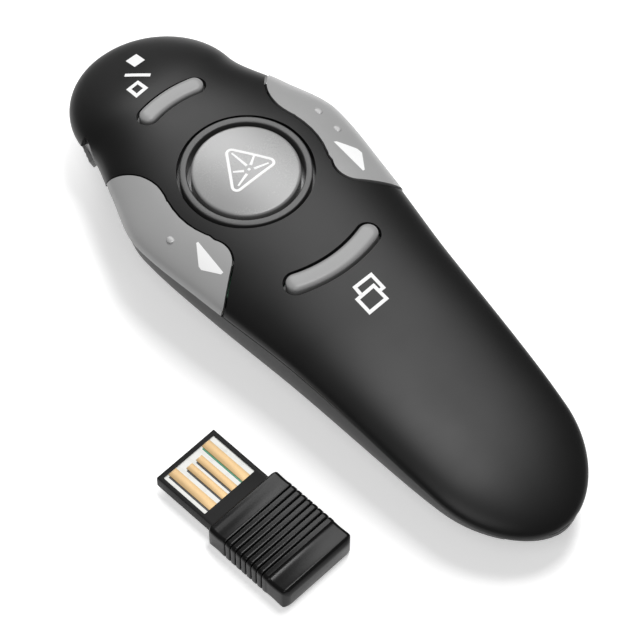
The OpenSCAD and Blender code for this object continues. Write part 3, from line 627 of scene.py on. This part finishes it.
# half widths and heights of a bar from its flange up over its rounded top
def barLevels(bar):
    b = barArc
    w = bar["wide"] / 2
    fall = b["fall"] * w
    shoulder = curve(crown, buttonY + bar["side"] * bar["radius"]) + b["proud"] - fall
    levels = [(w + b["flange"], b["foot"]), (w + b["flange"], b["flangeTop"]), (w, b["flangeTop"] + step)]
    for angle in range(0, 91, 9):
        across, up = (share ** b["fullness"] for share in onCircle(angle))
        levels.append((w * (b["spine"] + (1 - b["spine"]) * across), shoulder + fall * up))
    return levels


for name, bar in barKeys.items():
    piece = drawnUp([[(x, y, z) for x, y in barOutline(bar, w)] for w, z in barLevels(bar)])
    settle(piece, name, bar["body"], barGrey, bar["node"], 30)
print("bar keys drawn up")

# prints: their places count from the laser button's middle
prints = {"lift": 0.03, "thick": 0.02, "cuts": 5,
          "filledSquare": ((0.62, 31.01), (2.81, 31.09), (2.74, 28.74), (0.6, 28.64)),
          "slash": ((-1.65, 28.27), (1.04, 25.1)), "slashWide": 0.68,
          "openSquare": ((-3.28, 25.1), (-1.36, 25.27), (-1.31, 23.32), (-3.31, 23.07)), "openWide": 0.62,
          "backWindow": ((-0.76, -28.46), (-0.68, -26.73), (2.69, -26.54), (2.7, -29.36), (2.06, -29.41)),
          "frontWindow": ((-1.71, -28.55), (1.75, -28.22), (1.85, -31.09), (-1.69, -31.37)),
          "windowWide": 0.58,
          "arrowLeft": ((-13.67, -5.3), (-14.12, -11.9), (-14.58, -11.88),
                        (-16.21, -9.1), (-16.11, -8.4), (-13.98, -5.2)),
          "arrowRight": ((14.17, -4.02), (14.59, -4.2), (16.45, -6.97),
                         (16.6, -7.92), (14.57, -10.99), (14.2, -11.01))}


def fromButton(points):
    return [(x, y + buttonY) for x, y in points]


def onKey(x, y):
    return crownHeight(x, y, casing["keyLift"])


def onDome(x, y):
    return domeHeight(math.hypot(x, y - buttonY))


# a flat patch bent onto its surface and given the print's thickness
def layOn(name, body, piece, height):
    for v in piece.data.vertices:
        v.co.z = (height(v.co.x / mm, v.co.y / mm) + prints["lift"]) * mm
    piece.data.update()
    facesOut(piece)
    if sum(face.normal.z for face in piece.data.polygons) < 0:
        editAll()
        bpy.ops.mesh.flip_normals()
        editing(False)
    wall = piece.modifiers.new("ink", "SOLIDIFY")
    wall.thickness, wall.offset = prints["thick"] * mm, -1
    applyModifiers(piece)
    settle(piece, name, body, printWhite, angle=40)


# dense patch with straight sides
def printPatch(name, body, outline, height):
    bpy.ops.mesh.primitive_circle_add(vertices=len(outline), radius=mm, fill_type="NGON")
    piece = bpy.context.object
    for v, (x, y) in zip(clockwise(piece.data.vertices), fromButton(outline)):
        v.co = (x * mm, y * mm, 0)
    pick(piece)
    editAll()
    bpy.ops.mesh.quads_convert_to_tris()
    bpy.ops.mesh.subdivide(number_cuts=prints["cuts"])
    editing(False)
    layOn(name, body, piece, height)


# both edges of a line with mitred corners; with ends, its width runs from one end's to the other's
def lineEdges(points, wide, closed, ends, steps):
    corners = [Vector(point) for point in points]
    if closed:
        corners.append(corners[0])
    fine = [a.lerp(b, i / steps) for a, b in zip(corners, corners[1:]) for i in range(steps)]
    if not closed:
        fine.append(corners[-1])
    last = len(fine) - 1
    edges = []
    for i, spot in enumerate(fine):
        before = fine[i - 1] if closed or i > 0 else None
        after = fine[(i + 1) % len(fine)] if closed or i < last else None
        one = (spot - before).normalized() if before is not None else (after - spot).normalized()
        two = (after - spot).normalized() if after is not None else one
        side = Vector((one.y, -one.x)) + Vector((two.y, -two.x))
        side = side / max(0.5, side.length_squared) * 2
        w = wide if ends is None else ends[0] + (ends[1] - ends[0]) * i / last
        edges.append((spot + side * w / 2, spot - side * w / 2))
    return edges + edges[:1] if closed else edges


def printLine(name, body, points, wide, height, closed=False, ends=None, steps=8):
    edges = lineEdges(fromButton(points), wide, closed, ends, steps)
    bpy.ops.mesh.primitive_grid_add(x_subdivisions=len(edges) - 1, y_subdivisions=2, size=mm)
    piece = bpy.context.object
    across = sorted({round(v.co.y / mm, 3) for v in piece.data.vertices})
    columns = sorted({round(v.co.x / mm, 5) for v in piece.data.vertices})
    for v in piece.data.vertices:
        column = min(range(len(columns)), key=lambda i: abs(columns[i] - v.co.x / mm))
        t = (v.co.y / mm - across[0]) / (across[-1] - across[0])
        spot = edges[column][0].lerp(edges[column][1], t)
        v.co = (spot.x * mm, spot.y * mm, 0)
    layOn(name, body, piece, height)


printPatch("blankScreenIcon", "casing", prints["filledSquare"], crownHeight)
printLine("slashIcon", "casing", prints["slash"], prints["slashWide"], crownHeight)
printLine("openScreenIcon", "casing", prints["openSquare"], prints["openWide"], crownHeight, closed=True)
printLine("backWindowIcon", "casing", prints["backWindow"], prints["windowWide"], crownHeight)
printLine("frontWindowIcon", "casing", prints["frontWindow"], prints["windowWide"], crownHeight, closed=True)
printPatch("arrowLeft", "previous_key", prints["arrowLeft"], onKey)
printPatch("arrowRight", "next_key", prints["arrowRight"], onKey)

# sign on the laser button: a rounded triangle, rays from its middle outward, a dot
beam = {"corners": ((0.06, 5.02), (4.84, -1.96), (-4.49, -2.5)), "middle": (0.28, -0.41),
        "round": 0.72, "wide": 0.46,
        "rays": (((0.43, 0.34), (0.16, 3.71)), ((0.95, -0.8), (3.38, -1.37)), ((-0.51, -0.86), (-2.93, -1.73)),
                 ((0.95, 0.04), (2.52, 1.12)), ((-0.52, -0.19), (-1.95, 0.79))),
        "rayEnds": (0.46, 0.30), "dot": 0.26}


# corners of a polygon cut back and rounded
def roundedCorners(points, radius, steps=6):
    out = []
    for i, point in enumerate(points):
        before, corner, after = Vector(points[i - 1]), Vector(point), Vector(points[(i + 1) % len(points)])
        a, b = (before - corner).normalized(), (after - corner).normalized()
        half = a.angle(b) / 2
        back = radius / math.tan(half)
        centre = corner + (a + b).normalized() * radius / math.sin(half)
        start, end = corner + a * back - centre, corner + b * back - centre
        turn = start.angle_signed(end)
        for k in range(steps + 1):
            t = -turn * k / steps
            out.append((centre.x + start.x * math.cos(t) - start.y * math.sin(t),
                        centre.y + start.x * math.sin(t) + start.y * math.cos(t)))
    return out


triangle = roundedCorners(beam["corners"], beam["round"])
printLine("beamTriangle", "laser_key", triangle, beam["wide"], onDome, closed=True, steps=3)
for i, ray in enumerate(beam["rays"]):
    printLine("beamRay%d" % (i + 1), "laser_key", ray, beam["wide"], onDome, ends=beam["rayEnds"], steps=6)
middleX, middleY = beam["middle"]
dotTurns = [onCircle(angle) for angle in range(0, 360, 30)]
dotRing = [(middleX + beam["dot"] * across, middleY + beam["dot"] * up) for up, across in dotTurns]
printPatch("beamDot", "laser_key", dotRing, onDome)

dots = {"radius": 0.7, "rise": 0.14, "sunk": 0.6, "sides": 32,
        "places": (("previous_key", (-16.3, -1.9)), ("next_key", (16.3, 2.3)), ("next_key", (16.4, -2.1)))}
for i, (body, spot) in enumerate(dots["places"]):
    x, y = fromButton([spot])[0]
    z = onKey(x, y)
    turns = [onCircle(angle) for angle in range(0, 88, 12)]
    bulge = [(dots["radius"] * across, z + dots["rise"] * up) for across, up in turns]
    dot = turned([(dots["radius"], z - dots["sunk"])] + bulge, (x, y), dots["sides"])
    settle(dot, "tactileDot%d" % (i + 1), body, keyGrey)
print("prints and dots laid on")

# receiver: front middle of its cover on the table, and its turn
# groove: share of the pitch and of the depth; front and back: place, sides in, top and bottom in
receiver = {"place": (-32, -18.8), "turn": 5.5, "wide": 14.4, "long": 16.5, "thick": 4.8, "corner": 0.7,
            "plug": 12.0, "plugThick": 2.2, "plugRoom": 0.1, "endWall": 2.4,
            "ribStart": 3.6, "ribPitch": 1.1, "ribs": 8, "ribDepth": 0.45,
            "groove": ((0.0, 0.12), (0.04, 0.5), (0.08, 1.0), (0.13, 1.0), (0.17, 0.5), (0.21, 0.12),
                       (0.28, 0.03), (0.45, 0.0), (0.75, 0.0), (0.94, 0.03)),
            "front": ((0, 0.55, 0.5), (0.1, 0.28, 0.28), (0.3, 0.08, 0.1), (0.5, 0, 0.06), (1.0, 0, 0.1),
                      (1.6, 0, 0.18), (2.2, 0, 0.21), (2.7, 0, 0.16), (3.1, 0, 0.06), (3.3, 0, 0.01),
                      (3.45, 0.01, 0.0)),
            "back": ((4.05, 0.05, 0.12), (3.7, 0, 0.22), (3.1, 0, 0.28), (2.4, 0, 0.24), (1.7, 0, 0.14),
                     (1.1, 0.02, 0.03), (0.85, 0.06, 0.0), (0.66, 0.12, 0.03), (0.5, 0.28, 0.12),
                     (0.32, 0.48, 0.34), (0.14, 0.72, 0.64), (0.04, 0.95, 0.92), (0, 1.15, 1.2))}
plugFoot = (receiver["thick"] - receiver["plugThick"]) / 2
plugTop = plugFoot + receiver["plugThick"]


def toReceiver(piece):
    turn = Matrix.Rotation(math.radians(receiver["turn"]), 4, "Z")
    x, y = receiver["place"]
    piece.data.transform(Matrix.Translation((x * mm, y * mm, 0)) @ turn)
    piece.data.update()
    return piece


# rings along the cover from its front: place, how far the sides and the top and bottom stand back
def coverRings(r):
    rings = [(-at, side, deep) for at, side, deep in r["front"]]
    for i in range(r["ribs"]):
        for share, deep in r["groove"]:
            back = deep * r["ribDepth"]
            rings.append((-r["ribStart"] - r["ribPitch"] * (i + share), back, back))
    return rings + [(at - r["long"], side, deep) for at, side, deep in r["back"]]


def coverOutline(r, y, sides, heights):
    c = r["corner"]
    w, h = r["wide"] / 2 - sides - c, r["thick"] / 2 - heights - c
    points = []
    for mx, mz, start in ((1, 1, 0), (-1, 1, 90), (-1, -1, 180), (1, -1, 270)):
        turns = [onCircle(start + 15 * k) for k in range(7)]
        points += [(mx * w + c * across, y, r["thick"] / 2 + mz * h + c * up) for across, up in turns]
    return points


def receiverCover(r):
    piece = drawnUp([coverOutline(r, *levels) for levels in coverRings(r)])
    half, room = r["plug"] / 2 + r["plugRoom"], r["plugRoom"]
    cut(piece, boxTool((-half, r["endWall"] - r["long"], plugFoot - room), (half, 1, plugTop + room)))
    return toReceiver(piece)


settle(receiverCover(receiver), "receiverCover", "receiver", receiverBlack,
       "receiver_cover", 34)

# plug tray: rim and stop bar round the contacts, and the slot that the board lies in
plugTray = {"rim": 0.75, "bar": 2.5, "tip": 12.1, "inside": 10.5, "slot": 0.55, "slotFoot": 2.5,
            "board": 3.25, "boardRoom": 0.06, "edge": 0.1}


def trayPiece(t):
    w, foot = receiver["plug"] / 2, t["slotFoot"]
    window, slot = w - t["rim"], w - t["slot"]
    piece = boxTool((-w, -t["inside"], plugFoot), (w, t["tip"], plugTop))
    cut(piece, boxTool((-window, t["bar"], foot), (window, t["tip"] - t["rim"], plugTop + 1)))
    cut(piece, boxTool((-slot, -t["inside"] - 1, foot), (slot, t["tip"] - t["slot"], t["board"] + t["boardRoom"])))
    softEdges(piece, t["edge"])
    return toReceiver(piece)


settle(trayPiece(plugTray), "plugTray", "receiver", trayBlack, "receiver_plug_tray", 30)

# gilt strips on the contact board: widths, middles and far ends, then the line beside each
strips = {"wide": (1.6, 1.25, 1.25, 1.6), "middle": (-3.5, -1.0, 1.0, 3.5), "end": (11.3, 10.2, 10.2, 11.3),
          "start": 0.5, "thick": 0.12, "sunk": 0.04, "edge": 0.02,
          "line": 0.3, "lineShort": 0.35, "lineThick": 0.02}


# plates that lie on the contact board, joined into one piece: left and right sides, far end
def onBoard(name, plates, thick, material, node=None):
    low, high = plugTray["board"] - strips["sunk"], plugTray["board"] + thick
    piece = joined([boxTool((left, strips["start"], low), (right, end, high)) for left, right, end in plates])
    softEdges(piece, strips["edge"])
    settle(toReceiver(piece), name, "receiver", material, node, 30)


gilt = [(x - wide / 2, x + wide / 2, end)
        for x, wide, end in zip(strips["middle"], strips["wide"], strips["end"])]
lines = [(left - strips["line"], left, end - strips["lineShort"]) for left, right, end in gilt]
onBoard("contactStrips", gilt, strips["thick"], contactGold, "receiver_contacts")
onBoard("stripGaps", lines[:3], strips["lineThick"], chipBlack)
onBoard("stripEdge", lines[3:], strips["lineThick"], lineGreen)
print("receiver made")

# finishes of the nodes that stay
dress = {"laser_switch_stem": stemWhite, "black_screen_switch_stem": stemWhite, "window_switch_stem": stemWhite,
         "previous_switch_stem": stemWhite, "next_switch_stem": stemWhite,
         "power_switch": switchMetal, "laser_window": laserRed, "laser_lens": lensClear,
         "laser_barrel": barrelBrass, "laser_diode": diodeGold, "laser_board": boardGreen,
         "main_board": boardGreen, "key_switches": switchBody, "radio_chip": chipBlack,
         "clock_crystal": crystalMetal, "board_parts": partTan, "battery_left": cellJacket,
         "battery_right": cellJacket, "battery_springs": springSteel, "battery_plates": springSteel,
         "case_screws": screwSteel, "board_screw": screwSteel, "receiver_board": boardWhite,
         "receiver_chip": chipBlack}
for node, finish in dress.items():
    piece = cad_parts[node]
    piece.data.materials.clear()
    piece.data.materials.append(finish)
print("nodes dressed")

# floor and lamps, in metres and watts; a lamp has its place, width, length and power
studio = {"floor": 0.94, "cloud": 0.005, "glow": 0.42, "wide": 6, "under": 0.00002, "aim": (0, 0, 0.01), "sky": 0.18,
          "lamps": {"topLamp": ((0.12, 0, 0.62), 0.15, 0.15, 1.4), "stripLamp": ((0.24, 0.31, 0.51), 0.15, 0.6, 2.3),
                    "cameraFill": ((-0.28, -0.24, 0.60), 0.3, 0.3, 1.0)}}


# pale floor that glows a little wherever it is seen, and keeps the shadow
def floorFinish(s):
    f = Finish("paleFloor", {"Roughness": 0.9, "Specular IOR Level": 0.1, "Emission Strength": s["glow"]})
    f.feed("Base Color", f.blend(f.noise(60), grey(s["floor"] - s["cloud"]), grey(s["floor"] + s["cloud"])))
    camera, glossy, through = (f.add("ShaderNodeLightPath", out="Is %s Ray" % kind)
                               for kind in ("Camera", "Glossy", "Transmission"))
    f.feed("Emission Color", f.blend((camera + glossy + through).least(1), grey(0), grey(1)))
    return f.material


bpy.ops.mesh.primitive_plane_add(size=studio["wide"], location=(0, 0, -studio["under"]))
floor = bpy.context.object
floor.name = "floor"
floor.data.materials.append(floorFinish(studio))


# a flat lamp turned to the object, its long side along the casing
def addLamp(name, spot, wide, long, power):
    back = (Vector(spot) - Vector(studio["aim"])).normalized()
    along = (Vector((0, 1, 0)) - back * back.y).normalized()
    turn = Matrix((along.cross(back), along, back)).transposed().to_euler()
    bpy.ops.object.light_add(type="AREA", location=spot, rotation=turn)
    lamp = bpy.context.object
    lamp.name = name
    lamp.data.shape, lamp.data.energy = "RECTANGLE", power
    lamp.data.size, lamp.data.size_y = wide, long


for name, (spot, wide, long, power) in studio["lamps"].items():
    addLamp(name, spot, wide, long, power)
world = bpy.data.worlds.new("studio")
world.use_nodes = True
sky = world.node_tree.nodes["Background"]
sky.inputs["Color"].default_value = (1, 1, 1, 1)
sky.inputs["Strength"].default_value = studio["sky"]
bpy.context.scene.world = world
bpy.context.scene.view_settings.view_transform = "Standard"
print("floor and lamps set")
